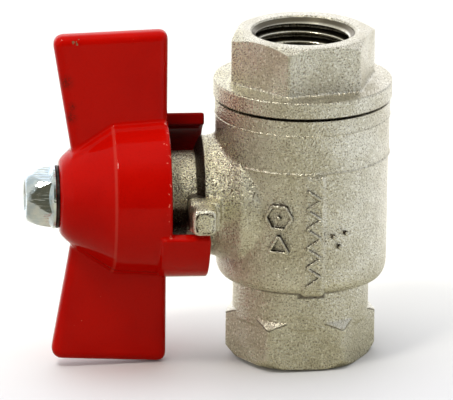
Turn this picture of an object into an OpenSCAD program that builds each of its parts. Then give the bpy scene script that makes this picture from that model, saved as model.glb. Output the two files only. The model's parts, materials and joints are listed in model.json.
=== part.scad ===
// Small lever ball valve with two female pipe ends and a butterfly handle.
// Millimetres. Z is the pipe axis, the stem runs out along -X, and the origin
// is the centre of the lower end face.

/* [Pipe ends] */
// Width across the flats of both wrench hexagons
hex_af = 17; // [14:0.5:22]
// Height of the upper end face above the lower one
body_length = 43.2; // [40:0.1:48]
// Pipe thread bore diameter at the crests
thread_minor = 11.7; // [8:0.01:19]
// Depth of the threaded bore from each end face
thread_depth = 10.7; // [7:0.1:11]
// Diameter of the countersink at each end face
countersink_d = 13.68; // [12:0.01:20]
// Diameter of the way through the valve
bore_d = 8; // [5:0.5:10]

/* [Body] */
// Outside diameter of the barrel under the connector
barrel_top_d = 22.6; // [20:0.1:26]
// Outside diameter of the barrel at its foot
barrel_foot_d = 22; // [19:0.1:26]
// Height where the barrel starts to round in
barrel_foot_z = 12.7; // [11:0.1:15]
// Diameter of the neck between barrel and lower hexagon
neck_d = 17.5; // [16:0.1:20]
// Height of the lower hexagon's flats at its corners
lower_hex_z = 5; // [3:0.1:8]
// Height of the stem axis
stem_z = 21.25; // [18:0.05:24]
// Diameter of the boss around the stem
boss_d = 15.4; // [13:0.1:18]
// Distance of the boss shoulder from the pipe axis
boss_x = 13.15; // [12:0.05:16]
// Diameter of the stem neck
collar_d = 11.5; // [9:0.1:14]
// Distance of the neck's end from the pipe axis
collar_x = 21.4; // [17:0.1:24]

/* [Connector] */
// Height of the seam between body and connector
seam_z = 34.45; // [32:0.05:37]
// Top of the connector's flange
flange_z = 36.85; // [35:0.05:40]
// Outside diameter of the flange
flange_d = 23.1; // [20:0.1:27]
// Turn of the upper hexagon about the pipe axis
hex_turn = 14; // [0:1:60]
// Diameter of the joint between body and connector
joint_d = 18; // [16:0.1:19]

/* [Handle] */
// Distance of the handle's outer face from the pipe axis
hub_x = 31.5; // [28:0.1:36]
// Distance of the handle's open rim from the pipe axis
rim_x = 17.4; // [16:0.1:20]
// Outside diameter of the rim
rim_d = 20.2; // [17:0.1:24]
// Reach of each wing from the stem axis, at the rim side
wing_reach = 22.3; // [14:0.1:25]
// Thickness of the wings
wing_t = 3; // [2:0.1:5]
// Outer diameter of the stop tongues
tongue_d = 21.2; // [18:0.1:24]
// Distance of the tongue ends from the pipe axis
tongue_x = 12.45; // [12:0.05:14]

/* [Nut] */
// Width across the flats of the handle nut
nut_af = 6.8; // [5.5:0.1:8]
// Diameter of the nut's flange
nut_flange_d = 8.3; // [7:0.1:10]

/* [Hidden] */
fine = 96;
small = 48;
eps = 0.01;

// pipe ends
sink_depth = (countersink_d - thread_minor) / 2;
corner_d = hex_af * 2 / sqrt(3);
hex_edge_d = 17.6;
hex_foot_rise = 1.05;
neck_foot_z = 5.4;
foot_edge_z = 10.85;
foot_edge_r = 10.35;
hex_top_d = 17;
hex_top_drop = 0.7;

// ball and seats
ball_r = 7;
ball_gap = 0.03;
seat_out_r = 7.6;
seat_in_r = 4.4;
seat_lip_r = 6.2;
seat_back = 6.65;
seat_land = 3.4;
slot_w = 2.6;
slot_x = 5.3;
mouth_r = 3.6;

// stem
stem_r = 3;
stem_bore_r = 3.03;
head_r = 3.5;
head_face_x = 7.35;
head_back_x = 8.95;
washer_back_x = 9.5;
tang_w = 2.5;
tang_len = 5.6;
tang_x = 5.4;
flats_from_x = 21.8;
flats_af = 4.6;
stud_r = 1.95;
stud_end_x = 35.6;
ring_r = 0.5;
groove_w = 1.3;
inner_ring_x = 12.5;
outer_ring_x = 16.5;

// connector seal
seal_r = 0.5;
seal_z = seam_z - 1.5;
skirt_z = 24.9;

// stop lug
lug_x = 13.45;
lug_w = 3.2;
lug_h = 3.9;
lug_root_w = 4;
lug_root_h = 4.6;
lug_step_y = 10.9;
lug_end_y = 12.4;

// handle
hub_face_r = 4.4;
cone_x = 23.9;
cone_r = 9.6;
hub_wall = 1.75;
hollow_x = 21;
hollow_end_x = 24.5;
hollow_end_r = 6.6;
socket_r = 4.6;
socket_x = 22;
socket_gap = 0.03;
tongue_in_r = 8.98;
tongue_start = 16.5;
tongue_span = 57;
tongue_root_x = 18.6;
wing_out_x = 32.5;
wing_in_x = 17.5;
wing_corner = 1.3;
wing_small_corner = 0.5;
wing_edge = 0.7;
wing_drop = 0.6;
wing_foot_x = 29.75;
wing_foot_z = 5.2;

// nut and washer
washer_out_r = 4.07;
washer_in_r = 2.25;
washer_t = 0.45;
nut_end_x = 35.85;
nut_turn = 14;
nut_base_x = hub_x + washer_t;
nut_rim_t = 0.28;
nut_cone_x = 32.75;
nut_hole_r = 2;

brass = [0.72, 0.70, 0.62];
plain_brass = [0.80, 0.68, 0.35];
chrome = [0.82, 0.83, 0.85];
white_plastic = [0.93, 0.93, 0.90];
rubber = [0.08, 0.08, 0.08];
red_paint = [0.72, 0.05, 0.03];
zinc = [0.75, 0.79, 0.82];
dark_steel = [0.12, 0.12, 0.13];

// a solid of revolution about the stem axis; its points are [distance from pipe axis, radius]
module turned(points, sides = fine) {
  translate([0, 0, stem_z])
    rotate([0, -90, 0])
      rotate_extrude($fn = sides)
        polygon([for (p = points) [p[1], p[0]]]);
}

module round_bar(from_x, to_x, r, sides = fine) {
  translate([-from_x, 0, stem_z])
    rotate([0, -90, 0])
      cylinder(h = to_x - from_x, r = r, $fn = sides);
}

// what a tap and a countersink take out of a face at height 0, going up
module tapped_hole() {
  translate([0, 0, -eps])
    cylinder(h = thread_depth + eps, d = thread_minor, $fn = fine);
  rotate_extrude($fn = fine)
    polygon([
      [0, -eps],
      [countersink_d / 2 + eps, -eps],
      [thread_minor / 2, sink_depth],
      [0, sink_depth]
    ]);
}

module hexagon(af, h) {
  linear_extrude(h)
    circle(d = af * 2 / sqrt(3), $fn = 6);
}

// ---- body ----

module lower_hexagon() {
  top = 7;
  intersection() {
    hexagon(hex_af, top);
    rotate_extrude($fn = fine)
      polygon([
        [0, 0],
        [hex_edge_d / 2, 0],
        [corner_d / 2 + eps, hex_foot_rise],
        [corner_d / 2 + eps, lower_hex_z],
        [neck_d / 2, top],
        [0, top]
      ]);
  }
}

module barrel() {
  rotate_extrude($fn = fine)
    polygon([
      [0, neck_foot_z],
      [neck_d / 2, neck_foot_z],
      [neck_d / 2, foot_edge_z - 0.15],
      [foot_edge_r, foot_edge_z],
      [10.75, 11.4],
      [barrel_foot_d / 2, barrel_foot_z],
      [barrel_top_d / 2, seam_z - 2.6],
      [barrel_top_d / 2, seam_z - 0.15],
      [barrel_top_d / 2 - 0.15, seam_z],
      [0, seam_z]
    ]);
}

module stem_boss() {
  turned([
    [0, 0],
    [0, 9.6],
    [8.6, 9.6],
    [9.6, 8.75],
    [10.6, 8.15],
    [11.7, 7.8],
    [12.4, boss_d / 2],
    [boss_x - 0.2, boss_d / 2],
    [boss_x, boss_d / 2 - 0.2],
    [14.05, collar_d / 2],
    [collar_x - 0.3, collar_d / 2],
    [collar_x, collar_d / 2 - 0.3],
    [collar_x, 0]
  ]);
}

module stop_lug() {
  translate([-lug_x, -lug_end_y, stem_z])
    rotate([-90, 0, 0])
      linear_extrude(lug_end_y - boss_d / 2 + 1.5)
        rounded_rect(lug_w, lug_h, 0.7);
  translate([-lug_x + 0.2, -lug_step_y, stem_z])
    rotate([-90, 0, 0])
      linear_extrude(lug_step_y - boss_d / 2 + 1.5)
        rounded_rect(lug_root_w, lug_root_h, 0.7);
}

module rounded_rect(w, h, r) {
  for (sx = [-1, 1])
    for (sy = [-1, 1])
      translate([sx * (w / 2 - r), sy * (h / 2 - r)])
        circle(r = r, $fn = 32);
  square([w - 2 * r, h], center = true);
  square([w, h - 2 * r], center = true);
}

module chamber() {
  // seat pocket and ball chamber, then the bore that takes the connector
  translate([0, 0, stem_z - seat_back])
    cylinder(h = skirt_z - stem_z + seat_back + eps, r = seat_out_r, $fn = fine);
  translate([0, 0, skirt_z])
    cylinder(h = seam_z - skirt_z + eps, d = joint_d, $fn = fine);
}

module valve_body() {
  color(brass)
    difference() {
      union() {
        barrel();
        lower_hexagon();
        stem_boss();
        stop_lug();
      }
      tapped_hole();
      translate([0, 0, thread_depth - eps])
        cylinder(h = stem_z - seat_back - thread_depth + 2 * eps, d = bore_d, $fn = fine);
      chamber();
      round_bar(seat_out_r - 1.5, washer_back_x, mouth_r, small);
      round_bar(washer_back_x - eps, collar_x + eps, stem_bore_r, small);
    }
}

// ---- connector ----

module connector_outside() {
  translate([0, 0, flange_z - eps])
    rotate([0, 0, hex_turn])
      intersection() {
        hexagon(hex_af, body_length - flange_z + eps);
        rotate_extrude($fn = fine)
          polygon([
            [0, 0],
            [corner_d / 2 + eps, 0],
            [corner_d / 2 + eps, body_length - flange_z - hex_top_drop],
            [hex_top_d / 2, body_length - flange_z + eps],
            [0, body_length - flange_z + eps]
          ]);
      }
  rotate_extrude($fn = fine)
    polygon([
      [0, skirt_z],
      [joint_d / 2 - 0.4, skirt_z],
      [joint_d / 2, skirt_z + 0.4],
      [joint_d / 2, seam_z],
      [flange_d / 2 - 0.1, seam_z],
      [flange_d / 2, seam_z + 0.1],
      [flange_d / 2, flange_z - 0.3],
      [flange_d / 2 - 0.3, flange_z],
      [0, flange_z]
    ]);
}

module end_connector() {
  bore_top = body_length - thread_depth;
  color(brass)
    difference() {
      connector_outside();
      translate([0, 0, body_length])
        mirror([0, 0, 1])
          tapped_hole();
      translate([0, 0, stem_z])
        cylinder(h = bore_top - stem_z + eps, d = bore_d, $fn = fine);
      translate([0, 0, skirt_z - eps])
        cylinder(h = stem_z + seat_back - skirt_z + eps, r = seat_out_r, $fn = fine);
      rotate_extrude($fn = fine)
        translate([joint_d / 2 - seal_r, seal_z])
          square([4 * seal_r, 2.6 * seal_r], center = true);
    }
}

module connector_seal() {
  color(rubber)
    rotate_extrude($fn = fine)
      translate([joint_d / 2 - seal_r, seal_z])
        circle(r = seal_r, $fn = 32);
}

// ---- seats and ball ----

module seat_ring() {
  // lies under the ball, back face down
  difference() {
    rotate_extrude($fn = fine)
      polygon([
        [seat_in_r, -seat_back],
        [seat_out_r, -seat_back],
        [seat_out_r, -seat_land],
        [seat_lip_r - 0.4, -seat_land],
        [seat_in_r, -seat_land]
      ]);
    sphere(r = ball_r + ball_gap, $fn = fine);
  }
}

module lower_seat() {
  color(white_plastic)
    translate([0, 0, stem_z])
      seat_ring();
}

module upper_seat() {
  color(white_plastic)
    translate([0, 0, stem_z])
      mirror([0, 0, 1])
        seat_ring();
}

module ball() {
  color(chrome)
    translate([0, 0, stem_z])
      difference() {
        sphere(r = ball_r, $fn = fine);
        cylinder(h = 2 * ball_r + 1, d = bore_d, center = true, $fn = fine);
        translate([-slot_x - ball_r / 2, 0, 0])
          cube([ball_r, 2 * ball_r, slot_w], center = true);
      }
}

// ---- stem ----

module stem_turned() {
  turned([
    [head_face_x, 0],
    [head_face_x, head_r - 0.3],
    [head_face_x + 0.3, head_r],
    [head_back_x, head_r],
    [head_back_x, stem_r],
    [flats_from_x + 0.4, stem_r],
    [hub_x - 0.4, stem_r],
    [hub_x - 0.4, stud_r],
    [stud_end_x - 0.35, stud_r],
    [stud_end_x, stud_r - 0.35],
    [stud_end_x, 0]
  ], small);
}

module ring_groove(at_x) {
  turned([
    [at_x - groove_w / 2, stem_r - 2 * ring_r],
    [at_x - groove_w / 2, stem_r + 1],
    [at_x + groove_w / 2, stem_r + 1],
    [at_x + groove_w / 2, stem_r - 2 * ring_r]
  ], small);
}

module stem() {
  color(plain_brass) {
    difference() {
      stem_turned();
      ring_groove(inner_ring_x);
      ring_groove(outer_ring_x);
      for (side = [-1, 1])
        translate([-(flats_from_x + hub_x) / 2, side * (flats_af / 2 + 1), stem_z])
          cube([hub_x - flats_from_x, 2, 3 * stem_r], center = true);
    }
    translate([-(tang_x + head_face_x + eps) / 2, 0, stem_z])
      cube([head_face_x - tang_x + eps, tang_len, tang_w], center = true);
  }
}

module thrust_washer() {
  color(white_plastic)
    difference() {
      round_bar(head_back_x, washer_back_x, head_r, small);
      round_bar(head_back_x - 1, washer_back_x + 1, stem_r, small);
    }
}

module o_ring(at_x) {
  translate([-at_x, 0, stem_z])
    rotate([0, -90, 0])
      rotate_extrude($fn = small)
        translate([stem_r - ring_r, 0])
          circle(r = ring_r, $fn = 24);
}

module inner_o_ring() {
  color(rubber)
    o_ring(inner_ring_x);
}

module outer_o_ring() {
  color(rubber)
    o_ring(outer_ring_x);
}

// ---- handle ----

module hub_outside() {
  turned([
    [hub_x, 0],
    [hub_x, hub_face_r],
    [hub_x - 0.25, hub_face_r + 0.5],
    [hub_x - 0.8, hub_face_r + 1.1],
    [hub_x - 1.55, hub_face_r + 1.75],
    [cone_x + 0.5, cone_r - 0.28],
    [cone_x, cone_r],
    [cone_x - 0.7, cone_r + 0.1],
    [rim_x + 0.25, rim_d / 2],
    [rim_x, rim_d / 2 - 0.25],
    [rim_x, 0]
  ]);
}

module hub_hollow() {
  turned([
    [rim_x - 1, 0],
    [rim_x - 1, rim_d / 2 - hub_wall],
    [hollow_x, rim_d / 2 - hub_wall - 0.2],
    [hollow_end_x, hollow_end_r],
    [hollow_end_x, socket_r],
    [socket_x, socket_r],
    [socket_x, 0]
  ]);
}

// outline of one wing, [distance from pipe axis, distance from stem axis]
module wing_outline() {
  reach_out = wing_reach - wing_drop;
  corner_x = wing_out_x - wing_corner;
  small_x = wing_in_x + wing_small_corner;
  polygon([
    [-wing_in_x, 4],
    [-wing_in_x, wing_reach - wing_small_corner],
    [-small_x, wing_reach],
    [-corner_x + 0.2, reach_out],
    [-corner_x - 0.45, reach_out - 0.12],
    [-corner_x - 0.95, reach_out - 0.5],
    [-wing_out_x + 0.03, reach_out - wing_corner + 0.2],
    [-wing_out_x, reach_out - wing_corner - 0.3],
    [-wing_foot_x, wing_foot_z],
    [-wing_foot_x + 0.8, 4]
  ]);
}

// a plate with one chamfered edge along Z at x = 0, the rest of it towards +X
module bevelled_edge(length) {
  far = 20;
  linear_extrude(length)
    polygon([
      [far, -wing_t / 2],
      [wing_edge, -wing_t / 2],
      [0, wing_edge - wing_t / 2],
      [0, wing_t / 2 - wing_edge],
      [wing_edge, wing_t / 2],
      [far, wing_t / 2]
    ]);
}

module wing() {
  side_lean = atan((wing_out_x - wing_foot_x) / (wing_reach - 2.5 - wing_foot_z));
  tip_fall = atan(wing_drop / (wing_out_x - wing_in_x - wing_corner));
  long_edge = 26;
  translate([0, 0, stem_z])
    intersection() {
      rotate([90, 0, 0])
        linear_extrude(wing_t, center = true)
          wing_outline();
      translate([-wing_foot_x, 0, wing_foot_z])
        rotate([0, -side_lean, 0])
          translate([0, 0, -4])
            bevelled_edge(long_edge);
      translate([-wing_in_x, 0, 0])
        rotate([0, 0, 180])
          bevelled_edge(long_edge);
      translate([-wing_in_x + 2, 0, wing_reach + 2 * tan(tip_fall)])
        rotate([0, -90 - tip_fall, 0])
          rotate([0, 0, 180])
            bevelled_edge(long_edge);
    }
}

// thickening where a wing runs into the hub
module wing_root() {
  root_t = wing_t + 1.6;
  intersection() {
    translate([-24, 0, stem_z + 6])
      cube([12.9, root_t, 12], center = true);
    turned([
      [hub_x - 1.6, 0],
      [hub_x - 1.6, hub_face_r + 2],
      [cone_x, cone_r + 0.55],
      [wing_in_x + 0.1, rim_d / 2 + 0.5],
      [wing_in_x + 0.1, 0]
    ]);
  }
}

// the two stop tongues; angles go down from the front
module tongues() {
  for (start = [tongue_start, tongue_start + 180])
    translate([-tongue_x, 0, stem_z])
      rotate([start, 0, 0])
        rotate([0, -90, 0])
          rotate([0, 0, -90])
            rotate_extrude(angle = -tongue_span, $fn = fine)
              translate([tongue_in_r, 0])
                square([tongue_d / 2 - tongue_in_r, tongue_root_x - tongue_x]);
}

module socket_hole() {
  across = flats_af + 2 * socket_gap;
  intersection() {
    round_bar(socket_x - 1, hub_x + 1, stem_r + socket_gap, small);
    translate([-(socket_x + hub_x) / 2, 0, stem_z])
      cube([hub_x - socket_x + 4, across, 4 * stem_r], center = true);
  }
}

module butterfly_handle() {
  color(red_paint)
    difference() {
      union() {
        hub_outside();
        tongues();
        for (flip = [0, 1])
          translate([0, 0, flip * 2 * stem_z])
            mirror([0, 0, flip]) {
              wing();
              wing_root();
            }
      }
      hub_hollow();
      socket_hole();
    }
}

// ---- nut and washer ----

module lock_washer() {
  color(dark_steel)
    difference() {
      round_bar(hub_x, hub_x + washer_t, washer_out_r, small);
      round_bar(hub_x - 1, hub_x + 1, washer_in_r, small);
    }
}

module handle_nut() {
  nut_corner_r = nut_af / sqrt(3);
  color(zinc)
    difference() {
      union() {
        intersection() {
          translate([-nut_base_x, 0, stem_z])
            rotate([0, -90, 0])
              rotate([0, 0, nut_turn])
                hexagon(nut_af, nut_end_x - nut_base_x);
          turned([
            [nut_base_x, 0],
            [nut_base_x, nut_corner_r + 1],
            [nut_end_x - 0.5, nut_corner_r + eps],
            [nut_end_x, nut_af / 2 - 0.15],
            [nut_end_x, 0]
          ], small);
        }
        turned([
          [nut_base_x, 0],
          [nut_base_x, nut_flange_d / 2 - 0.1],
          [nut_base_x + 0.1, nut_flange_d / 2],
          [nut_base_x + nut_rim_t, nut_flange_d / 2],
          [nut_cone_x, nut_af / 2],
          [nut_cone_x, 0]
        ], small);
      }
      round_bar(nut_base_x - 1, nut_end_x + 1, nut_hole_r, small);
      turned([
        [nut_end_x - 0.35, 0],
        [nut_end_x - 0.35, nut_hole_r],
        [nut_end_x + eps, nut_hole_r + 0.36],
        [nut_end_x + eps, 0]
      ], small);
    }
}

valve_body();
end_connector();
connector_seal();
lower_seat();
upper_seat();
ball();
stem();
thrust_washer();
inner_o_ring();
outer_o_ring();
butterfly_handle();
lock_washer();
handle_nut();
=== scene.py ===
import json
import math

import bmesh
import bpy
from mathutils import Matrix, Vector

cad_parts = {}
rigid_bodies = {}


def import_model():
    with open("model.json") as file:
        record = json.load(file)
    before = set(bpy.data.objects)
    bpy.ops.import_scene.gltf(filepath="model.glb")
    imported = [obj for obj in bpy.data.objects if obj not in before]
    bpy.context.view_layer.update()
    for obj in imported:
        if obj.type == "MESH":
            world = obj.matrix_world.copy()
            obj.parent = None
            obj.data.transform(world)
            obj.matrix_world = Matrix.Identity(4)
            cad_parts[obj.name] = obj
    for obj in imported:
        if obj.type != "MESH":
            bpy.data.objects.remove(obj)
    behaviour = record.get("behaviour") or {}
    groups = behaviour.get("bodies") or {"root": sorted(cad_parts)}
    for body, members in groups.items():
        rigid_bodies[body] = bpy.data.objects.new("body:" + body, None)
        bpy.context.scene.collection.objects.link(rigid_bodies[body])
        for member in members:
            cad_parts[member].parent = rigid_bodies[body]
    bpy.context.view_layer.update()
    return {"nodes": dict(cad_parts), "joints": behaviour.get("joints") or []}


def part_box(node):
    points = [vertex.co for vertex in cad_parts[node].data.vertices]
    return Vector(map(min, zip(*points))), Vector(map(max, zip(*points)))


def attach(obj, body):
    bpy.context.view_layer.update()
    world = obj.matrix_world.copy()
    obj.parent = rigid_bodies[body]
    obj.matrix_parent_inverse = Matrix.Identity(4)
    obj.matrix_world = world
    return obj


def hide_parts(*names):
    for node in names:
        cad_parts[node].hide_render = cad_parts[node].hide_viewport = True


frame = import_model()

# shapes are worked in millimetres, and settle() turns them into metres
toMetres = 0.001
stemJoint = next(j for j in frame["joints"] if j["name"] == "handle_turn")
stemZ = stemJoint["pos_m"][2] / toMetres
bodyBox = [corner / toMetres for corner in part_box("valve_body")]
connectorBox = [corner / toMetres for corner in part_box("end_connector")]
seamZ = bodyBox[1].z  # where the body's rim meets the connector's flange
topZ = connectorBox[1].z


# mesh tools

def toPiece(name, bm):
    mesh = bpy.data.meshes.new(name)
    bm.to_mesh(mesh)
    bm.free()
    piece = bpy.data.objects.new(name, mesh)
    bpy.context.scene.collection.objects.link(piece)
    return piece


def lathe(profile, about="pipe", steps=96, ring=False):
    # profile is (distance along the axis, radius); along the stem it counts away from the pipe
    bm = bmesh.new()
    if about == "pipe":
        verts = [bm.verts.new((r, 0, d)) for d, r in profile]
        centre, axis = (0, 0, 0), (0, 0, 1)
    else:
        verts = [bm.verts.new((-d, 0, stemZ + r)) for d, r in profile]
        centre, axis = (0, 0, stemZ), (1, 0, 0)
    chain = verts + verts[:1] if ring else verts
    edges = [bm.edges.new(pair) for pair in zip(chain, chain[1:])]
    bmesh.ops.spin(
        bm, geom=verts + edges, cent=centre, axis=axis, angle=2 * math.pi, steps=steps, use_merge=True)
    bmesh.ops.remove_doubles(bm, verts=bm.verts, dist=0.0005)
    bmesh.ops.recalc_face_normals(bm, faces=bm.faces)
    return bm


def cutFlats(bm, acrossFlats, turn, about="pipe"):
    # planes a hexagon out of a turned blank; turn is where one corner points
    for side in range(6):
        angle = math.radians(turn + 30 + 60 * side)
        if about == "pipe":
            centre, normal = Vector((0, 0, 0)), Vector((math.cos(angle), math.sin(angle), 0))
        else:
            centre, normal = Vector((0, 0, stemZ)), Vector((0, math.sin(angle), math.cos(angle)))
        cut = bmesh.ops.bisect_plane(
            bm, geom=bm.verts[:] + bm.edges[:] + bm.faces[:], dist=0.0001,
            plane_co=centre + normal * acrossFlats / 2, plane_no=normal, clear_outer=True)
        rim = [e for e in cut["geom_cut"] if isinstance(e, bmesh.types.BMEdge)]
        bmesh.ops.edgeloop_fill(bm, edges=rim)
    bmesh.ops.recalc_face_normals(bm, faces=bm.faces)
    return bm


def hexPart(blank, acrossFlats, turn, corner):
    # a wrench hexagon with its upright edges rounded, as a forging die leaves them
    bm = cutFlats(lathe(blank), acrossFlats, turn)
    upright = []
    for edge in bm.edges:
        run = edge.verts[0].co - edge.verts[1].co
        if abs(run.z) > 2 and abs(run.x) < 0.2 and abs(run.y) < 0.2 and edge.calc_face_angle(0) > 0.7:
            upright.append(edge)
    roundEdges(bm, upright, corner, 5)
    return bm


def block(size, centre, edge=0.0, segments=3):
    # a box with all its edges rounded
    bm = bmesh.new()
    bmesh.ops.create_cube(bm, size=1)
    bmesh.ops.scale(bm, vec=size, verts=bm.verts)
    if edge:
        roundEdges(bm, bm.edges[:], edge, segments)
    bmesh.ops.translate(bm, vec=centre, verts=bm.verts)
    return bm


def roundEdges(bm, edges, width, segments):
    bmesh.ops.bevel(bm, geom=edges, offset=width, offset_type="OFFSET", segments=segments,
                    profile=0.5, affect="EDGES", material=-1, clamp_overlap=True)


def bake(piece):
    graph = bpy.context.evaluated_depsgraph_get()
    shaped = bpy.data.meshes.new_from_object(piece.evaluated_get(graph))
    spent = piece.data
    piece.modifiers.clear()
    piece.data = shaped
    bpy.data.meshes.remove(spent)
    return piece


def combine(piece, tool, operation="UNION"):
    step = piece.modifiers.new("step", "BOOLEAN")
    step.operation = operation
    step.solver = "MANIFOLD"
    step.object = tool
    bake(piece)
    bpy.data.objects.remove(tool)
    return piece


def recast(piece, grain, rounds):
    # one even skin over joined solids, with every edge a little soft
    skin = piece.modifiers.new("skin", "REMESH")
    skin.mode = "VOXEL"
    skin.voxel_size = grain
    soft = piece.modifiers.new("soft", "SMOOTH")
    soft.factor = 0.5
    soft.iterations = rounds
    return bake(piece)


def soften(piece, rounds, share):
    # share(point) says how much of the smoothing a point takes, from 0 to 1
    group = piece.vertex_groups.new(name="soften")
    for vert in piece.data.vertices:
        weight = share(vert.co)
        if weight > 0.01:
            group.add([vert.index], min(1, weight), "REPLACE")
    soft = piece.modifiers.new("soft", "SMOOTH")
    soft.factor = 0.5
    soft.iterations = rounds
    soft.vertex_group = group.name
    bake(piece)
    piece.vertex_groups.clear()
    return piece


def fade(value, start, end):
    # 0 at start, 1 at end, eased between
    t = max(0, min(1, (value - start) / (end - start)))
    return t * t * (3 - 2 * t)


def settle(piece, body, finish, stands=(), sharpAbove=None):
    piece.data.transform(Matrix.Scale(toMetres, 4))
    piece.data.materials.clear()
    piece.data.materials.append(finish)
    piece.data.polygons.foreach_set("use_smooth", [True] * len(piece.data.polygons))
    if sharpAbove:
        piece.data.set_sharp_from_angle(angle=math.radians(sharpAbove))
    piece.data.update()
    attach(piece, body)
    if stands:
        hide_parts(*stands)
    return piece


# shader tools

class Wire:
    # a socket whose arithmetic adds Math nodes
    def __init__(self, bench, socket):
        self.bench = bench
        self.socket = socket

    def __add__(self, other):
        return self.bench.maths("ADD", self, other)

    __radd__ = __add__

    def __sub__(self, other):
        return self.bench.maths("SUBTRACT", self, other)

    def __rsub__(self, other):
        return self.bench.maths("SUBTRACT", other, self)

    def __mul__(self, other):
        return self.bench.maths("MULTIPLY", self, other)

    __rmul__ = __mul__

    def atLeast(self, other):
        return self.bench.maths("MAXIMUM", self, other)

    def ramp(self, start, end):
        # 0 at start, 1 at end, eased between
        return self.bench.add(
            "ShaderNodeMapRange", {"interpolation_type": "SMOOTHSTEP"},
            {0: self, 1: start, 2: end, 3: 0.0, 4: 1.0})


class Bench:
    # a node tree being wired up
    def __init__(self, tree, coordinates="Object"):
        self.tree = tree
        self.measured = {}
        tree.nodes.clear()
        self.place = self.add("ShaderNodeTexCoord", output=coordinates)

    def add(self, kind, settings=None, sockets=None, output=0):
        node = self.tree.nodes.new(kind)
        for key, value in (settings or {}).items():
            setattr(node, key, value)
        for key, value in (sockets or {}).items():
            if isinstance(value, Wire):
                self.tree.links.new(value.socket, node.inputs[key])
            else:
                node.inputs[key].default_value = value
        return Wire(self, node.outputs[output]) if node.outputs else node

    def maths(self, operation, a, b=0.0):
        return self.add("ShaderNodeMath", {"operation": operation}, {0: a, 1: b})

    def mixed(self, share, a, b):
        a, b = [v if isinstance(v, Wire) else (*v, 1.0) for v in (a, b)]
        return self.add("ShaderNodeMix", {"data_type": "RGBA"}, {0: share, 6: a, 7: b}, output=2)

    def grain(self, size, detail=2.0, rough=0.5, stretch=None):
        # noise whose blotches are about size metres
        spot = self.place
        if stretch:
            spot = self.add("ShaderNodeMapping", None, {"Vector": self.place, "Scale": stretch})
        return self.add("ShaderNodeTexNoise", None, {
            "Vector": spot, "Scale": 1 / size, "Detail": detail, "Roughness": rough})

    def cells(self, size):
        return self.add("ShaderNodeTexVoronoi", None, {"Vector": self.place, "Scale": 1 / size})

    def vector(self, operation, a, b=None, output=0):
        sockets = {0: a} if b is None else {0: a, 1: b}
        return self.add("ShaderNodeVectorMath", {"operation": operation}, sockets, output=output)

    def distanceTo(self, point):
        return self.vector("DISTANCE", self.place, point, output=1)

    def distanceFromLine(self, point, keep):
        # keep is 0 along the line's own axis and 1 across it
        off = self.vector("MULTIPLY", self.vector("SUBTRACT", self.place, point), keep)
        return self.vector("LENGTH", off, output=1)

    def axis(self, name):
        return self.add("ShaderNodeSeparateXYZ", None, {0: self.place}, output="XYZ".index(name))

    def measure(self, name):
        # X, Y, Z, fromPipe, fromStem or cone, wired once in each tree
        if name not in self.measured:
            if name == "fromPipe":
                found = self.distanceFromLine((0.0, 0.0, 0.0), (1.0, 1.0, 0.0))
            elif name == "fromStem":
                found = self.distanceFromLine((0.0, 0.0, stemZ * toMetres), (0.0, 1.0, 1.0))
            elif name == "cone":
                found = self.measure("fromPipe") + self.measure("Z") * plating["coneSlope"]
            else:
                found = self.axis(name)
            self.measured[name] = found
        return self.measured[name]

    def zone(self, limits):
        # where all the limits hold; each is (measure, nothing here, full here) in millimetres
        mask = None
        for name, nothing, full in limits:
            edge = self.measure(name).ramp(nothing * toMetres, full * toMetres)
            mask = mask * edge if mask else edge
        return mask

    def bump(self, height, depth):
        return self.add("ShaderNodeBump", None, {"Height": height, "Distance": depth, "Strength": 1.0})


def newFinish(name):
    material = bpy.data.materials.new(name)
    material.use_nodes = True
    return material, Bench(material.node_tree)


def closeFinish(bench, **sockets):
    named = {key.replace("_", " "): value for key, value in sockets.items()}
    shader = bench.add("ShaderNodeBsdfPrincipled", None, named)
    bench.add("ShaderNodeOutputMaterial", None, {"Surface": shader})


# finishes

plating = {
    "bright": (0.86, 0.83, 0.74),
    "dull": (0.70, 0.66, 0.54),
    "pit": (0.30, 0.25, 0.18),
    # painted highlight colour: the grain's glints, the shoulder and the lug's rim
    "glint": (1.0, 0.97, 0.88),
    "dark": (0.20, 0.15, 0.08),
    "paintedGlintGold": (1.0, 0.96, 0.70),
    # the dark of the pits, and the painted shade inside the ports
    "bore": (0.10, 0.08, 0.05),
    # painted shade: the colour darkened into the slot, under the collar, along the seams, under the
    # barrel, on the ledge, under the foot pad, on the lug's end and on the marks' low sides
    "paintedShade": (0.035, 0.018, 0.010),
    "roughness": 0.27,
    "grainDepth": 0.00018,
    "coneSlope": 0.982,  # the lower hexagon's shoulder is where radius + slope * height is constant
    "paintedShadeFade": 0.0002,
    # middle of the lug's end in X and Z, and half its size in both
    "lugEnd": (-0.01345, (stemZ - 0.15) * toMetres, 0.00155, 0.0018),
    "zones": {
        "port": (("fromPipe", 6.70, 6.50),),
        "slot": (("X", -12.90, -13.12), ("fromStem", 5.7, 6.0), ("fromStem", 8.0, 7.6)),
        "underCollar": (("X", -15.00, -15.35), ("Z", stemZ + 0.7, stemZ - 0.5)),
        "seam": (("Z", seamZ - 0.3, seamZ - 0.18), ("Z", seamZ + 0.3, seamZ + 0.18)),
        "seamRight": (("X", 3.0, 10.5),),
        "foot": (("Z", 10.05, 10.32), ("Z", 10.80, 10.74), ("fromPipe", 10.2, 10.0)),
        "shoulder": (("cone", 14.90, 14.94), ("cone", 15.05, 15.01), ("fromPipe", 8.80, 8.86)),
        "ledge": (("cone", 14.70, 14.78), ("cone", 14.94, 14.88), ("fromPipe", 8.80, 8.86),
                  ("Z", 4.8, 5.1), ("Z", 6.6, 6.3)),
        "dip": (("X", -1.4, -0.9), ("X", 2.7, 2.2), ("Z", 9.50, 9.75), ("Z", 10.8, 10.7),
                ("fromPipe", 9.00, 8.90), ("Y", 0.0, -4.0)),
        "nearHandle": (("X", -6.0, -10.0), ("Z", stemZ - 3.0, stemZ + 2.0)),
        "lugTip": (("Y", -11.8, -12.2),),
    },
}


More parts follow.
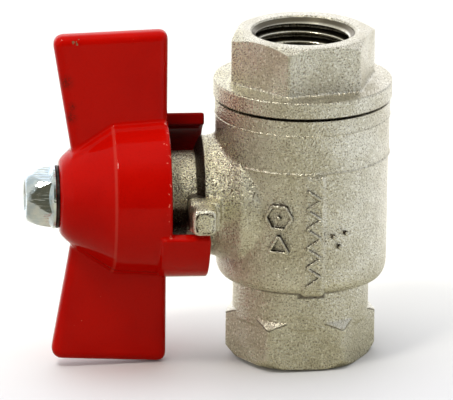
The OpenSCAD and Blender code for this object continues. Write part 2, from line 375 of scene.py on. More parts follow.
def makePlating(name, paintedShadeBelow=None):
    made = plating
    material, bench = newFinish(name)
    fine = bench.grain(0.00018, 1.0, 0.6)
    coarse = bench.grain(0.00032, 2.0, 0.6)
    cloud = bench.grain(0.004, 3.0, 0.5)
    zone = {key: bench.zone(limits) for key, limits in made["zones"].items()}
    pits = bench.cells(0.0009).ramp(0.13, 0.05) * bench.grain(0.003).ramp(0.5, 0.62)
    colour = bench.mixed(cloud.ramp(0.3, 0.7), made["bright"], made["dull"])
    colour = bench.mixed(fine.ramp(0.50, 0.32) * 0.8, colour, made["pit"])
    # random grain specks lifted to near-white as painted glints
    colour = bench.mixed(coarse.ramp(0.55, 0.66), colour, made["glint"])
    colour = bench.mixed(pits * 0.8, colour, made["bore"])
    # painted shade inside the ports
    colour = bench.mixed(zone["port"] * 0.85, colour, made["bore"])
    # painted shade in the slot beside the collar, below the collar's middle and along the seams, and
    # under the barrel's lower edge, on the hexagon's ledge and on the neck under the foot pad
    seam = zone["seam"] * coarse.ramp(0.30, 0.45) * (1 - zone["seamRight"] * 0.6)
    paintedShade = zone["slot"].atLeast(zone["underCollar"]).atLeast(seam).atLeast(zone["foot"] * 0.8)
    paintedShade = paintedShade.atLeast(zone["ledge"] * 0.7).atLeast(zone["dip"] * 0.8)
    colour = bench.mixed(paintedShade * 0.93, colour, made["paintedShade"])
    # painted highlight on the lower hexagon's coned shoulder; the painted shade on the dark ledge below
    # it is mixed in above
    colour = bench.mixed(zone["shoulder"] * 0.5, colour, made["glint"])
    # painted glitter on the side towards the handle: coarser dark specks and golden painted glints
    # standing in for sparkle
    near = zone["nearHandle"] * (1 - zone["underCollar"].atLeast(zone["slot"]))
    colour = bench.mixed(near * fine.ramp(0.45, 0.37) * 0.9, colour, made["dark"])
    colour = bench.mixed(near * fine.ramp(0.51, 0.58) * 0.9, colour, made["paintedGlintGold"])
    # the lug's flat end: a painted highlight along its rounded rim, with a painted shade line inside it
    lugX, lugZ, halfX, halfZ = made["lugEnd"]
    outX = bench.maths("ABSOLUTE", (bench.measure("X") - lugX) * (1 / halfX))
    outZ = bench.maths("ABSOLUTE", (bench.measure("Z") - lugZ) * (1 / halfZ))
    outward = bench.maths(
        "POWER", bench.maths("POWER", outX, 4.0) + bench.maths("POWER", outZ, 4.0), 0.25)
    line = outward.ramp(0.60, 0.68) * outward.ramp(0.82, 0.74) * coarse.ramp(0.42, 0.56)
    colour = bench.mixed(zone["lugTip"] * line, colour, made["paintedShade"])
    colour = bench.mixed(zone["lugTip"] * outward.ramp(0.76, 0.84), colour, made["glint"])
    # painted shade on the marks' low sides, nearer the pipe's axis than this
    if paintedShadeBelow:
        low = bench.measure("fromPipe").ramp(paintedShadeBelow + made["paintedShadeFade"], paintedShadeBelow)
        colour = bench.mixed(low, colour, made["paintedShade"])
    closeFinish(
        bench, Base_Color=colour, Metallic=1.0,
        Roughness=fine * 0.18 + cloud * 0.10 + (made["roughness"] - 0.12),
        Normal=bench.bump(fine * 0.5 + coarse - pits * 0.8, made["grainDepth"]))
    return material


threadPlating = {
    "bright": (0.88, 0.86, 0.78),
    "dull": (0.76, 0.72, 0.60),
    "valleyShade": (0.10, 0.08, 0.05),
    "valley": (0.00592, 0.00625),  # distance from the pipe's axis, from bright plating to painted shade
}


def makeThreadPlating():
    # bright along the crests, with painted shade in the valleys
    made = threadPlating
    material, bench = newFinish("nickelOnThread")
    fine = bench.grain(0.0002, 2.0, 0.5)
    valley = bench.measure("fromPipe").ramp(*made["valley"])
    colour = bench.mixed(fine.ramp(0.3, 0.7), made["bright"], made["dull"])
    colour = bench.mixed(valley * 0.9, colour, made["valleyShade"])
    closeFinish(
        bench, Base_Color=colour, Metallic=1.0, Roughness=fine * 0.15 + 0.12,
        Normal=bench.bump(fine, 0.00001))
    return material


paint = {
    "red": (0.54, 0.0030, 0.0006),
    "deep": (0.49, 0.0020, 0.0004),
    "shade": (0.13, 0.0008, 0.0003),
    "nibAndHighlightPink": (0.80, 0.20, 0.15),
    "bare": (0.42, 0.21, 0.12),
    "grime": (0.05, 0.012, 0.008),
    # (place, radius) of each, in millimetres
    "chips": (((-29.75, -1.4, 42.35), 0.16), ((-29.4, -1.4, 42.5), 0.12),
              ((-29.3, -1.5, 42.1), 0.14), ((-29.1, -1.3, 42.8), 0.10)),
    "scuffs": (((-30.1, -1.5, 32.3), 1.3), ((-29.9, -1.5, 33.8), 0.9), ((-30.7, -1.5, 37.0), 1.5)),
    "chipRagged": 0.0006,
    "chipFade": (0.00036, 0.00024),
    "zones": {
        "inner": (("fromStem", 9.6, 9.0), ("X", -24.0, -23.4)),
        "upperTongue": (("X", -17.6, -17.2), ("Z", stemZ, stemZ + 3)),
        "rim": (("X", -18.6, -18.1), ("X", -17.3, -17.6), ("fromStem", 10.6, 10.3)),
        "crest": (("X", -24.92, -24.72), ("X", -24.36, -24.52),
                  ("fromStem", 9.3, 9.5), ("fromStem", 10.0, 9.9)),
    },
    "peelDepth": 0.00006,
}


def makePaint():
    made = paint
    material, bench = newFinish("redPaint")
    peel = bench.grain(0.0011, 1.0, 0.4)
    cloud = bench.grain(0.006, 2.0, 0.5)
    fine = bench.grain(0.0003, 2.0, 0.6)
    zone = {key: bench.zone(limits) for key, limits in made["zones"].items()}
    nibs = bench.cells(0.0016).ramp(0.075, 0.03) * bench.grain(0.005).ramp(0.55, 0.66)
    chip = 0.0
    outside, inside = made["chipFade"]
    for point, size in made["chips"]:
        near = bench.distanceTo([c * toMetres for c in point]) + fine * made["chipRagged"]
        chip = near.ramp(size * toMetres + outside, size * toMetres + inside) + chip
    scuff = 0.0
    for point, size in made["scuffs"]:
        near = bench.distanceTo([c * toMetres for c in point])
        scuff = near.ramp(size * toMetres, 0.0) * fine.ramp(0.35, 0.6) + scuff
    rim = zone["rim"] * bench.grain(0.0006).ramp(0.64, 0.70)
    colour = bench.mixed(cloud.ramp(0.35, 0.7), made["red"], made["deep"])
    colour = bench.mixed(fine.ramp(0.5, 0.3) * 0.10, colour, made["shade"])
    # painted shade inside the hub and tongues, and on the upper tongue
    colour = bench.mixed(zone["inner"].atLeast(zone["upperTongue"] * 0.8), colour, made["shade"])
    # painted highlight along the hub's edge between cone and cylinder
    colour = bench.mixed(zone["crest"] * 0.14, colour, made["nibAndHighlightPink"])
    # painted highlights as pale specks along the hub's rim, and the paint's own pale nibs
    colour = bench.mixed(rim.atLeast(nibs * 0.6), colour, made["nibAndHighlightPink"])
    colour = bench.mixed(scuff * 0.7, colour, made["grime"])
    colour = bench.mixed(chip, colour, made["bare"])
    height = peel * 0.5 + fine * 0.06 + nibs * 1.2 - chip * 2.0
    closeFinish(
        bench, Base_Color=colour, Metallic=chip * 0.9,
        Roughness=fine * 0.1 + scuff * 0.3 + chip * 0.2 + 0.27,
        Specular_IOR_Level=0.0, Coat_Weight=1.0 - chip.atLeast(zone["inner"] * 0.85),
        Coat_Roughness=0.07, Coat_IOR=1.2,
        Normal=bench.bump(height, made["peelDepth"]))
    return material


zinc = {"bright": (0.90, 0.98, 1.0), "dull": (0.66, 0.79, 0.90)}


def makeZinc():
    material, bench = newFinish("brightZinc")
    cloud = bench.grain(0.0012, 3.0, 0.6)
    fine = bench.grain(0.00025, 2.0, 0.5)
    drag = bench.grain(0.0003, 2.0, 0.5, stretch=(0.15, 1.0, 1.0))
    colour = bench.mixed(cloud.ramp(0.3, 0.7), zinc["bright"], zinc["dull"])
    closeFinish(
        bench, Base_Color=colour, Metallic=1.0, Roughness=cloud * 0.16 + fine * 0.06 + 0.06,
        Normal=bench.bump(drag + cloud * 0.6, 0.00005))
    return material


darkSteel = {"bright": (0.09, 0.07, 0.065), "dull": (0.030, 0.024, 0.024)}


def makeDarkSteel():
    material, bench = newFinish("blackenedSteel")
    cloud = bench.grain(0.0008, 3.0, 0.6)
    colour = bench.mixed(cloud.ramp(0.35, 0.65), darkSteel["dull"], darkSteel["bright"])
    closeFinish(
        bench, Base_Color=colour, Metallic=0.8, Roughness=cloud * 0.3 + 0.3,
        Normal=bench.bump(cloud, 0.00001))
    return material


brass = {"bright": (0.80, 0.62, 0.28), "dull": (0.62, 0.44, 0.18)}


def makeBrass():
    material, bench = newFinish("turnedBrass")
    rings = bench.grain(0.00012, 1.0, 0.5, stretch=(1.0, 0.04, 0.04))
    cloud = bench.grain(0.002, 3.0, 0.5)
    colour = bench.mixed(cloud.ramp(0.3, 0.7), brass["bright"], brass["dull"])
    closeFinish(
        bench, Base_Color=colour, Metallic=1.0, Roughness=rings * 0.15 + cloud * 0.12 + 0.14,
        Normal=bench.bump(rings, 0.000008))
    return material


chrome = {"bright": (0.62, 0.63, 0.65), "dull": (0.52, 0.53, 0.55)}


def makeChrome():
    material, bench = newFinish("chromedBrass")
    cloud = bench.grain(0.003, 3.0, 0.5)
    fine = bench.grain(0.0002, 2.0, 0.5, stretch=(1.0, 1.0, 0.1))
    colour = bench.mixed(cloud.ramp(0.3, 0.7), chrome["bright"], chrome["dull"])
    closeFinish(
        bench, Base_Color=colour, Metallic=1.0, Roughness=cloud * 0.05 + fine * 0.04 + 0.03,
        Normal=bench.bump(fine, 0.000002))
    return material


seatPlastic = {"bright": (0.84, 0.84, 0.80), "dull": (0.76, 0.75, 0.70)}


def makeSeat():
    material, bench = newFinish("whiteSeatPlastic")
    cloud = bench.grain(0.002, 3.0, 0.5)
    rings = bench.grain(0.0002, 1.0, 0.5, stretch=(0.1, 0.1, 1.0))
    colour = bench.mixed(cloud.ramp(0.3, 0.7), seatPlastic["bright"], seatPlastic["dull"])
    closeFinish(
        bench, Base_Color=colour, Roughness=cloud * 0.15 + 0.34, Subsurface_Weight=0.1,
        Subsurface_Radius=(0.001, 0.001, 0.001), Subsurface_Scale=0.4,
        Normal=bench.bump(rings, 0.000004))
    return material


rubber = {"bright": (0.03, 0.03, 0.03), "dull": (0.012, 0.012, 0.013)}


def makeRubber():
    material, bench = newFinish("blackRubber")
    cloud = bench.grain(0.0009, 3.0, 0.6)
    colour = bench.mixed(cloud.ramp(0.3, 0.7), rubber["dull"], rubber["bright"])
    closeFinish(
        bench, Base_Color=colour, Roughness=cloud * 0.2 + 0.5, Specular_IOR_Level=0.4,
        Normal=bench.bump(cloud, 0.000012))
    return material


finishes = {
    "plating": makePlating("nickelOnForging"),
    # the marks' finish paints shade on their low sides
    "markPlating": makePlating("nickelOnMarks", paintedShadeBelow=0.01142),
    "thread": makeThreadPlating(),
    "paint": makePaint(),
    "zinc": makeZinc(),
    "darkSteel": makeDarkSteel(),
    "brass": makeBrass(),
    "chrome": makeChrome(),
    "seat": makeSeat(),
    "rubber": makeRubber(),
}
print("finishes made:", len(finishes))


# valve body: one rough forging, then the turned faces

# both ports, and the hollow between them
port = {"radius": 6.6, "chamferRadius": 6.84, "chamfer": 0.26, "bore": 4.0, "pocket": 7.6}

forging = {
    "grain": 0.185,
    "rounds": 2,
    "barrel": [(5.4, 0), (5.4, 8.75), (10.7, 8.75), (10.85, 10.35), (11.4, 10.75), (12.1, 10.98),
               (12.9, 11.05), (20.0, 11.08), (27.0, 11.12), (27.25, 11.24), (32.2, 11.25),
               (32.45, 11.32), (seamZ + 0.6, 11.32), (seamZ + 0.6, 0)],
    "hexBlank": [(-0.4, 0), (-0.4, 8.45), (1.05, 9.85), (6.5, 9.85), (7.1, 8.75), (7.1, 0)],
    "hexCut": [(5.22, 9.85), (6.35, 8.74), (7.4, 8.74), (7.4, 12.0), (5.22, 12.0)],
    "hexCorner": 0.4,
    "acrossFlats": 17.0,
    "boss": [(0, 0), (0, 9.6), (8.6, 9.6), (9.6, 8.78), (10.6, 8.18), (11.7, 7.82), (12.4, 7.68),
             (13.0, 7.66), (13.0, 0)],
    # boxes: size, centre (the lug's are from the stem's axis), rounding
    "lugTip": ((3.2, 6.0, 3.6), (-13.45, -9.4, -0.15), 0.85),
    "lugRoot": ((4.2, 5.0, 4.1), (-13.2, -7.15, -0.2), 0.55),
    "strip": ((2.8, 2.0, 15.6), (0.65, -10.30, 19.1), 0.3),
    "foot": ((3.3, 1.9, 1.7), (0.65, -9.75, 11.25), 0.78),
    "footCut": [(7.4, 8.76), (10.62, 8.76), (10.72, 8.86), (10.84, 10.3), (10.84, 12.0), (7.4, 12.0)],
    "neckRing": [(5.35, 8.0), (5.35, 8.68), (5.45, 8.78), (9.0, 8.78), (9.0, 8.0)],
    "stepLines": (27.15, 32.3),
    "stepLine": [(-0.14, 10.6), (-0.14, 11.26), (-0.04, 11.36), (0.2, 11.2), (0.2, 10.6)],
    # radius from the stem's axis of the smoothed ring where the boss meets the barrel
    "joinRadius": 8.9,
    "collar": [(11.8, 0), (11.8, 7.5), (12.6, 7.72), (12.97, 7.72), (13.15, 7.54), (14.05, 5.75),
               (21.1, 5.75), (21.4, 5.45), (21.4, 0)],
    "inside": [(-2, 0), (-2, 12.5), (0, 12.5), (0, port["chamferRadius"]),
               (port["chamfer"], port["radius"]), (10.2, port["radius"]),
               (11.0, port["bore"]), (stemZ - 6.65, port["bore"]),
               (stemZ - 6.65, port["pocket"]), (24.9, port["pocket"]), (24.9, 9.01),
               (seamZ - 0.09, 9.01), (seamZ - 0.09, 11.12), (seamZ - 0.24, 11.36), (seamZ - 0.24, 13.0),
               (seamZ + 3, 13.0), (seamZ + 3, 0)],
    "stemHole": [(4.5, 0), (4.5, 3.6), (9.5, 3.6), (9.5, 3.03), (23, 3.03), (23, 0)],
}


def makeBody():
    made = forging
    body = toPiece("valveBody", lathe(made["barrel"]))
    hexagon = hexPart(made["hexBlank"], made["acrossFlats"], 0, made["hexCorner"])
    combine(body, toPiece("hexPart", hexagon))
    combine(body, toPiece("bossPart", lathe(made["boss"], "stem")))
    for key in ("lugRoot", "lugTip"):
        size, centre, edge = made[key]
        combine(body, toPiece(key, block(size, Vector(centre) + Vector((0, 0, stemZ)), edge, 4)))
    size, centre, edge = made["strip"]
    combine(body, toPiece("strip", block(size, centre, edge, 3)))
    recast(body, made["grain"], made["rounds"])

    def bossJoin(point):
        outward = math.hypot(point.y, point.z - stemZ)
        near = fade(abs(outward - made["joinRadius"]), 2.6, 1.0) * fade(-point.x, 4.5, 6.5)
        return near * fade(-point.x, 12.3, 11.3) * fade(point.y, -10.5, -9.0)

    soften(body, 9, bossJoin)
    combine(body, toPiece("footCut", lathe(made["footCut"], ring=True, steps=128)), "DIFFERENCE")
    size, centre, edge = made["foot"]
    combine(body, toPiece("foot", block(size, centre, edge, 4)))
    combine(body, toPiece("hexCut", lathe(made["hexCut"], ring=True, steps=128)), "DIFFERENCE")
    combine(body, toPiece("neckRing", lathe(made["neckRing"], ring=True, steps=128)))
    for height in made["stepLines"]:
        ring = [(height + rise, radius) for rise, radius in made["stepLine"]]
        combine(body, toPiece("stepLine", lathe(ring, ring=True, steps=128)))
    combine(body, toPiece("collarPart", lathe(made["collar"], "stem")))
    combine(body, toPiece("insideCut", lathe(made["inside"])), "DIFFERENCE")
    combine(body, toPiece("stemCut", lathe(made["stemHole"], "stem", 64)), "DIFFERENCE")
    return settle(body, "valve", finishes["plating"], ["valve_body"], sharpAbove=38)


valveBody = makeBody()
print("valve body:", len(valveBody.data.polygons), "faces")


# end connector: forged hexagon with a turned flange, chamfer and end face

connectorCut = {
    "grain": 0.15,
    "rounds": 2,
    "hexBlank": [(35.5, 0), (35.5, 9.88), (44.2, 9.88), (44.2, 0)],
    "hexTurn": 14,
    "hexCorner": 0.4,
    "acrossFlats": 17.0,
    "flangeTop": 36.85,
    "flangeBlank": [(34.0, 0), (34.0, 12.0), (36.85, 12.0), (36.85, 0)],
    "envelope": [(seamZ + 0.1, 0), (seamZ + 0.1, 11.38), (seamZ + 0.24, 11.53), (36.62, 11.53),
                 (36.8, 11.38), (37.1, 11.9), (42.55, 11.9), (42.38, 9.95), (topZ - 0.06, 8.55),
                 (topZ, 8.42), (topZ, 0)],
    "skirt": [(24.9, 0), (24.9, 8.6), (25.3, 8.98), (35.0, 8.98), (35.0, 0)],
    "groove": [(32.3, 8.3), (32.3, 9.4), (33.6, 9.4), (33.6, 8.3)],
    "inside": [(topZ + 1, 0), (topZ + 1, 7.84), (topZ, 6.84), (topZ - port["chamfer"], port["radius"]),
               (33.3, port["radius"]), (32.5, port["bore"]), (27.9, port["bore"]),
               (27.9, port["pocket"]), (24.0, port["pocket"]), (24.0, 0)],
}


def makeConnector():
    made = connectorCut
    piece = toPiece("endConnector", lathe(made["flangeBlank"]))
    hexagon = hexPart(made["hexBlank"], made["acrossFlats"], made["hexTurn"], made["hexCorner"])
    combine(piece, toPiece("hexPart", hexagon))
    recast(piece, made["grain"], made["rounds"])

    def flangeCorner(point):
        near = fade(abs(point.z - made["flangeTop"]), 0.8, 0.3)
        return near * fade(math.hypot(point.x, point.y), 11.2, 10.6)

    soften(piece, 8, flangeCorner)
    combine(piece, toPiece("envelope", lathe(made["envelope"], steps=128)), "INTERSECT")
    combine(piece, toPiece("skirt", lathe(made["skirt"])))
    combine(piece, toPiece("insideCut", lathe(made["inside"])), "DIFFERENCE")
    combine(piece, toPiece("grooveCut", lathe(made["groove"], ring=True)), "DIFFERENCE")
    return settle(piece, "valve", finishes["plating"], ["end_connector"], sharpAbove=32)


endConnector = makeConnector()
print("end connector:", len(endConnector.data.polygons), "faces")


# pipe threads: one ridge wound along each port

pipeThread = {
    "pitch": 1.337,
    "turns": 7.4,
    "stepsPerTurn": 60,
    "start": -0.3,
    # the ridge: (radius, distance along the pipe from its crest)
    "section": [(6.64, -0.60), (6.01, -0.17), (5.89, -0.10), (5.85, 0.0), (5.89, 0.10), (6.01, 0.17),
                (6.64, 0.60)],
    # what is kept of it: (distance in from the end face, radius)
    "sleeve": [(0.19, 6.65), (0.99, 5.82), (9.8, 5.82), (9.8, 6.65)],
}


def makeThread(name, faceZ, downwards):
    made = pipeThread
    bm = bmesh.new()
    verts = [bm.verts.new((r, 0, made["start"] + along)) for r, along in made["section"]]
    face = bm.faces.new(verts)
    steps = int(made["turns"] * made["stepsPerTurn"])
    bmesh.ops.spin(
        bm, geom=[face] + face.edges[:] + face.verts[:], cent=(0, 0, 0), axis=(0, 0, 1),
        dvec=(0, 0, made["pitch"] / made["stepsPerTurn"]), angle=2 * math.pi * made["turns"],
        steps=steps)
    bmesh.ops.remove_doubles(bm, verts=bm.verts, dist=0.0001)
    bmesh.ops.recalc_face_normals(bm, faces=bm.faces)
    if downwards:
        # a half turn about X keeps the thread right-handed
        bmesh.ops.rotate(bm, cent=(0, 0, 0), matrix=Matrix.Rotation(math.pi, 3, "X"), verts=bm.verts)
    bmesh.ops.translate(bm, vec=(0, 0, faceZ), verts=bm.verts)
    ridge = toPiece(name, bm)
    side = -1 if downwards else 1
    sleeve = [(faceZ + side * depth, radius) for depth, radius in made["sleeve"]]
    combine(ridge, toPiece("sleeve", lathe(sleeve, ring=True)), "INTERSECT")
    return settle(ridge, "valve", finishes["thread"], (), sharpAbove=50)


upperThread = makeThread("upperThread", topZ, True)
lowerThread = makeThread("lowerThread", 0.0, False)
print("threads:", len(upperThread.data.polygons), len(lowerThread.data.polygons), "faces")


# raised marks on the barrel: a zigzag, two outlines and some beads, which spell nothing

def outline(sides, reach, length, turn=0):
    # the strokes of a regular outline whose sides lie at this reach from its middle
    strokes = []
    for side in range(sides):
        lean = 360 // sides * side + turn
        away = math.radians(lean)
        strokes.append((reach * math.sin(away), reach * math.cos(away), length, 0.5, lean))
    return tuple(strokes)


marks = {
    "proud": 0.50,
    "radius": 11.12,
    "rounding": 0.23,
    "depth": 0.9,
    # (degrees right of the front, height, what is there)
    "places": tuple((3.3, 12.6 + 1.3 * step, "rise" if step % 2 else "fall") for step in range(10)) + (
        (-20, 21.2, "hexagon"), (-20, 21.2, "bead"), (-20, 17.3, "triangle"),
        (17, 18.6, "bead"), (26, 18.9, "bead"), (21, 17.2, "bead")),
    # strokes of each sign: (sideways, upwards, width, height, lean in degrees)
    "signs": {
        "rise": ((0, 0, 2.35, 0.5, 34),),
        "fall": ((0, 0, 2.35, 0.5, -34),),
        "hexagon": outline(6, 1.5, 1.95),
        "triangle": outline(3, 0.75, 2.7, turn=60),
        "bead": ((0, 0, 0.6, 0.6, 45),),
    },
}


def makeMarks():
    made = marks
    whole = bmesh.new()
    outward = made["radius"] + made["proud"] - made["depth"] / 2
    for angle, height, sign in made["places"]:
        for sideways, upwards, width, tall, lean in made["signs"][sign]:
            around = math.radians(angle) + sideways / made["radius"]
            bar = block((width, made["depth"], tall), (0, 0, 0), made["rounding"], 4)
            place = (Matrix.Translation((0, 0, height + upwards)) @ Matrix.Rotation(around, 4, "Z")
                     @ Matrix.Translation((0, -outward, 0))
                     @ Matrix.Rotation(math.radians(lean), 4, "Y"))
            bmesh.ops.transform(bar, matrix=place, verts=bar.verts)
            addTo(whole, bar)
    piece = toPiece("castMarks", whole)
    return settle(piece, "valve", finishes["markPlating"], (), sharpAbove=60)


def addTo(whole, part):
    held = bpy.data.meshes.new("held")
    part.to_mesh(held)
    part.free()
    whole.from_mesh(held)
    bpy.data.meshes.remove(held)


castMarks = makeMarks()
print("marks:", len(castMarks.data.polygons), "faces")


# butterfly handle: hub, wings and stop tongues cast as one

handle = {
    "grain": 0.19,
    "rounds": 2,
    "hub": [(31.5, 0), (31.5, 4.4), (31.25, 4.95), (30.7, 5.55), (29.95, 6.18), (24.75, 9.45),
            (24.5, 9.62), (24.2, 9.68), (17.65, 10.1), (17.4, 9.85), (17.4, 0)],
    "hollow": [(16.0, 0), (16.0, 8.35), (21.0, 8.15), (24.5, 6.6), (24.5, 4.6), (22.0, 4.6), (22.0, 0)],
    "wingThick": 3.0,
    "wingRound": 1.1,
    # distance from the pipe axis, distance from the stem axis
    "wing": [(17.5, 4.0), (17.5, 22.3), (32.5, 21.7), (29.75, 5.2), (28.9, 4.0)],
    "tipCorner": 1.5,
    "root": [(29.9, 0), (29.9, 6.45), (24.5, 10.0), (17.7, 10.45), (17.7, 0)],
    "rootHalf": 2.4,
    # inner and outer radius, nearest and farthest from the pipe axis
    "tongue": (8.98, 10.6, 12.45, 18.8),
    "tongueStart": 16.5,
    "tongueSpan": 57.0,
    "tongueEdge": 0.25,
    "socket": (3.03, 4.66),  # radius and width across its flats
}


def makeWing(sign):
    made = handle
    bm = bmesh.new()
    verts = [bm.verts.new((-d, -made["wingThick"] / 2, stemZ + sign * r)) for d, r in made["wing"]]
    face = bm.faces.new(verts)
    grown = bmesh.ops.extrude_face_region(bm, geom=[face])
    back = [v for v in grown["geom"] if isinstance(v, bmesh.types.BMVert)]
    bmesh.ops.translate(bm, vec=(0, made["wingThick"], 0), verts=back)
    bmesh.ops.recalc_face_normals(bm, faces=bm.faces)
    tip = Vector((-made["wing"][2][0], 0, stemZ + sign * made["wing"][2][1]))
    corner = [e for e in bm.edges
              if all((Vector((v.co.x, 0, v.co.z)) - tip).length < 0.01 for v in e.verts)]
    roundEdges(bm, corner, made["tipCorner"], 6)
    outer = [e for e in bm.edges if len(e.link_faces) == 2 and e.calc_face_angle(0) > 1.2
             and all(abs(abs(v.co.y) - made["wingThick"] / 2) < 0.01 for v in e.verts)]
    roundEdges(bm, outer, made["wingRound"], 4)
    return bm


def makeTongue(turn):
    inner, outer, near, far = handle["tongue"]
    bm = bmesh.new()
    section = ((near, inner), (near, outer), (far, outer), (far, inner))
    face = bm.faces.new([bm.verts.new((-d, -r, stemZ)) for d, r in section])
    bmesh.ops.spin(
        bm, geom=[face] + face.edges[:] + face.verts[:], cent=(0, 0, stemZ), axis=(1, 0, 0),
        angle=math.radians(handle["tongueSpan"]), steps=16)
    bmesh.ops.remove_doubles(bm, verts=bm.verts, dist=0.0005)
    bmesh.ops.recalc_face_normals(bm, faces=bm.faces)
    sharp = [e for e in bm.edges if len(e.link_faces) == 2 and e.calc_face_angle(0) > 1.2]
    roundEdges(bm, sharp, handle["tongueEdge"], 3)
    turned = Matrix.Rotation(math.radians(turn), 3, "X")
    bmesh.ops.rotate(bm, cent=(0, 0, stemZ), matrix=turned, verts=bm.verts)
    return bm


def makeRoot():
    # the thicker foot that both wings share where they meet the hub
    bm = lathe(handle["root"], "stem")
    for side in (1, -1):
        cut = bmesh.ops.bisect_plane(
            bm, geom=bm.verts[:] + bm.edges[:] + bm.faces[:], dist=0.0001,
            plane_co=(0, side * handle["rootHalf"], stemZ), plane_no=(0, side, 0), clear_outer=True)
        rim = [e for e in cut["geom_cut"] if isinstance(e, bmesh.types.BMEdge)]
        bmesh.ops.edgeloop_fill(bm, edges=rim)
    bmesh.ops.recalc_face_normals(bm, faces=bm.faces)
    return bm


def makeHandle():
    made = handle
    piece = toPiece("butterflyHandle", lathe(made["hub"], "stem"))
    combine(piece, toPiece("rootPart", makeRoot()))
    for sign in (1, -1):
        combine(piece, toPiece("wingPart", makeWing(sign)))
    combine(piece, toPiece("hollowCut", lathe(made["hollow"], "stem")), "DIFFERENCE")
    for turn in (made["tongueStart"], made["tongueStart"] + 180):
        combine(piece, toPiece("tonguePart", makeTongue(turn)))
    recast(piece, made["grain"], made["rounds"])

    def wingFoot(point):
        outward = math.hypot(point.y, point.z - stemZ)
        reach = fade(outward, 5.0, 6.2) * fade(outward, 12.3, 11.2) * fade(abs(point.y), 4.6, 3.4)
        return reach * fade(abs(point.z - stemZ), 3.5, 5.0) * fade(-point.x, 17.5, 18.3)

    soften(piece, 16, wingFoot)
    radius, across = made["socket"]
    key = block((14, across, 8), (-28, 0, stemZ))
    hole = toPiece("socketCut", lathe([(21, 0), (21, radius), (33, radius), (33, 0)], "stem", 64))
    combine(hole, toPiece("keyPart", key), "INTERSECT")
    combine(piece, hole, "DIFFERENCE")
    return settle(piece, "handle", finishes["paint"], ["butterfly_handle"], sharpAbove=45)


butterflyHandle = makeHandle()
print("handle:", len(butterflyHandle.data.polygons), "faces")


# handle nut and lock washer

nut = {
    "acrossFlats": 6.8,
    "turn": 14,
    "blank": [(31.95, 0), (31.95, 4.05), (32.6, 3.95), (33.4, 3.82), (34.2, 3.65), (34.8, 3.46),
              (35.25, 3.27), (35.55, 3.1), (35.74, 2.93), (35.85, 2.7), (35.85, 0)],
    "flange": [(31.95, 0), (31.95, 4.05), (32.03, 4.14), (32.32, 4.14), (32.48, 3.95), (32.9, 3.4),
               (32.9, 0)],
    "hole": [(31, 0), (31, 2.0), (35.5, 2.0), (36.3, 2.85), (36.3, 0)],
    "edge": 0.14,
}


def makeNut():
    made = nut
    bm = cutFlats(lathe(made["blank"], "stem", 72), made["acrossFlats"], made["turn"], "stem")
    corners = [e for e in bm.edges if len(e.link_faces) == 2 and e.calc_face_angle(0) > 0.5
               and abs(e.verts[0].co.x - e.verts[1].co.x) > 1.5]
    roundEdges(bm, corners, made["edge"], 3)
    piece = toPiece("handleNut", bm)
    combine(piece, toPiece("flangePart", lathe(made["flange"], "stem", 72)))
    combine(piece, toPiece("holeCut", lathe(made["hole"], "stem", 48)), "DIFFERENCE")
    return settle(piece, "handle", finishes["zinc"], ["handle_nut"], sharpAbove=26)


washer = {
    "section": [(31.5, 2.25), (31.5, 3.95), (31.6, 4.06), (31.85, 4.06), (31.94, 3.95), (31.94, 2.25)],
}


def makeWasher():
    piece = toPiece("lockWasher", lathe(washer["section"], "stem", 72, ring=True))
    return settle(piece, "handle", finishes["darkSteel"], ["lock_washer"], sharpAbove=40)


handleNut = makeNut()
lockWasher = makeWasher()
print("nut and washer:", len(handleNut.data.polygons), len(lockWasher.data.polygons), "faces")


# the parts whose solids already have their shape

for nodeName, finish in (
        ("ball", "chrome"), ("lower_seat", "seat"), ("upper_seat", "seat"), ("thrust_washer", "seat"),
        ("stem", "brass"), ("connector_seal", "rubber"), ("inner_o_ring", "rubber"),
        ("outer_o_ring", "rubber")):
    for slot in frame["nodes"][nodeName].material_slots:
        slot.link = "OBJECT"
        slot.material = finishes[finish]
print("inner parts dressed")


# floor, lights and camera

stage = {
    "lean": 0.0399,  # the lower wing and the port's far edge both touch the floor
    "floorAtOrigin": -0.36,
    "reach": 900.0,
    "shadedPaperNear": (0.755, 0.76, 0.82),
    "paperFar": (0.97, 0.97, 0.97),
    "reflectedFront": (0.50, 0.485, 0.38),
    "reflectedRight": (0.76, 0.79, 0.81),
    "reflectedLeft": (0.34, 0.31, 0.26),
}


def makeFloor():
    bm = bmesh.new()
    bmesh.ops.create_grid(bm, x_segments=8, y_segments=8, size=stage["reach"])
    for vert in bm.verts:
        vert.co.z = stage["floorAtOrigin"] + stage["lean"] * vert.co.x
    piece = toPiece("floor", bm)
    piece.data.transform(Matrix.Scale(toMetres, 4))
    material, bench = newFinish("paleFloor")
    # the camera sees pale paper, painted darker and bluer towards the front as painted shade
    away, side = bench.axis("Y"), bench.axis("X")
    pale = bench.mixed(away.ramp(-0.03, 0.05), stage["shadedPaperNear"], stage["paperFar"])
    # other rays see the floor painted dimmer and warmer in front, darker on the left and cooler on the
    # right: painted reflections and bounce light
    reflectedFloor = bench.mixed(side.ramp(-0.015, -0.06), stage["reflectedFront"], stage["reflectedLeft"])
    reflectedFloor = bench.mixed(side.ramp(0.015, 0.05), reflectedFloor, stage["reflectedRight"])
    reflectedFloor = bench.mixed(away.ramp(0.0, 0.05), reflectedFloor, stage["paperFar"])
    seen = bench.add("ShaderNodeLightPath", output=0)
    closeFinish(bench, Base_Color=bench.mixed(seen, reflectedFloor, pale), Roughness=0.6, Specular_IOR_Level=0.1)
    piece.data.materials.append(material)


tent = {
    "front": (0.10, 0.09, 0.06),
    "middle": (0.62, 0.61, 0.55),
    "back": (1.5, 1.5, 1.5),
    "right": (0.62, 0.64, 0.66),
    "backdrop": (1.0, 1.0, 1.0),
}


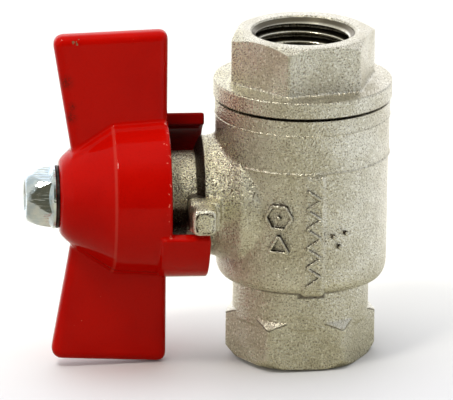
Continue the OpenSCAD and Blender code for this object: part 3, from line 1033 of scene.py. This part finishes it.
def makeSurround():
    # a light tent: bright behind, cooler on the right, warmer and dimmer in front
    made = tent
    world = bpy.data.worlds.new("tent")
    bpy.context.scene.world = world
    world.use_nodes = True
    bench = Bench(world.node_tree, "Generated")
    right, back = bench.axis("X"), bench.axis("Y")
    colour = bench.mixed(back.ramp(-0.8, -0.25), made["front"], made["middle"])
    colour = bench.mixed(back.ramp(0.45, 0.9), colour, made["back"])
    colour = bench.mixed(right.ramp(0.25, 0.9), colour, made["right"])
    seen = bench.add("ShaderNodeLightPath", output=0)
    colour = bench.mixed(seen, colour, made["backdrop"])
    light = bench.add("ShaderNodeBackground", None, {"Color": colour, "Strength": 1.0})
    bench.add("ShaderNodeOutputWorld", None, {"Surface": light})


lamps = {
    "overhead": {"place": (-0.10, 0.0, 0.60), "target": (0, 0, 0.02), "size": 0.5, "power": 1.8,
                 "colour": (1.0, 1.0, 1.0), "glossy": False},
    "frontFill": {"place": (-0.30, -0.60, 0.35), "target": (-0.01, 0, 0.02), "size": 0.4, "power": 0.9,
                  "colour": (1.0, 0.99, 0.97), "glossy": False},
    "sparkle": {"place": (-0.25, -0.25, 0.60), "target": (-0.01, 0, 0.02), "size": 0.12, "power": 1.15,
                "colour": (1.0, 0.96, 0.82), "glossy": True},
}


def makeLight(name, place, target, size, power, colour, glossy):
    lamp = bpy.data.lights.new(name, "AREA")
    lamp.shape = "RECTANGLE"
    lamp.size = lamp.size_y = size
    lamp.energy = power
    lamp.color = colour
    holder = bpy.data.objects.new(name, lamp)
    bpy.context.scene.collection.objects.link(holder)
    aim = Vector(target) - Vector(place)
    holder.matrix_world = Matrix.Translation(place) @ aim.to_track_quat("-Z", "Y").to_matrix().to_4x4()
    holder.visible_glossy = glossy


view = {
    "azimuth": 4.787,
    "elevation": 17.313,
    "roll": 0.575,
    "target": (-0.009715, 0, 0.02044),
    "distance": 1.5,
    "sensor": 36.0,
    "focalInWidths": 11607 / 453,
}


def makeCamera():
    made = view
    azimuth, elevation, roll = (math.radians(made[key]) for key in ("azimuth", "elevation", "roll"))
    level, lift = math.cos(elevation), math.sin(elevation)
    away = Vector((-math.sin(azimuth) * level, -math.cos(azimuth) * level, lift))
    right = Vector((math.cos(azimuth), -math.sin(azimuth), 0))
    up = Vector((math.sin(azimuth) * lift, math.cos(azimuth) * lift, level))
    turnedRight = right * math.cos(roll) + up * math.sin(roll)
    turnedUp = up * math.cos(roll) - right * math.sin(roll)
    place = Vector(made["target"]) + away * made["distance"]
    lens = bpy.data.cameras.new("camera")
    lens.sensor_width = made["sensor"]
    lens.lens = made["focalInWidths"] * made["sensor"]
    lens.clip_start = 0.1
    lens.clip_end = 20.0
    holder = bpy.data.objects.new("camera", lens)
    bpy.context.scene.collection.objects.link(holder)
    basis = Matrix((turnedRight, turnedUp, away)).transposed().to_4x4()
    holder.matrix_world = Matrix.Translation(place) @ basis
    bpy.context.scene.camera = holder


makeFloor()
makeSurround()
for lampName, lampSetting in lamps.items():
    makeLight(lampName, **lampSetting)
makeCamera()
bpy.context.scene.view_settings.view_transform = "Standard"
print("stage set")
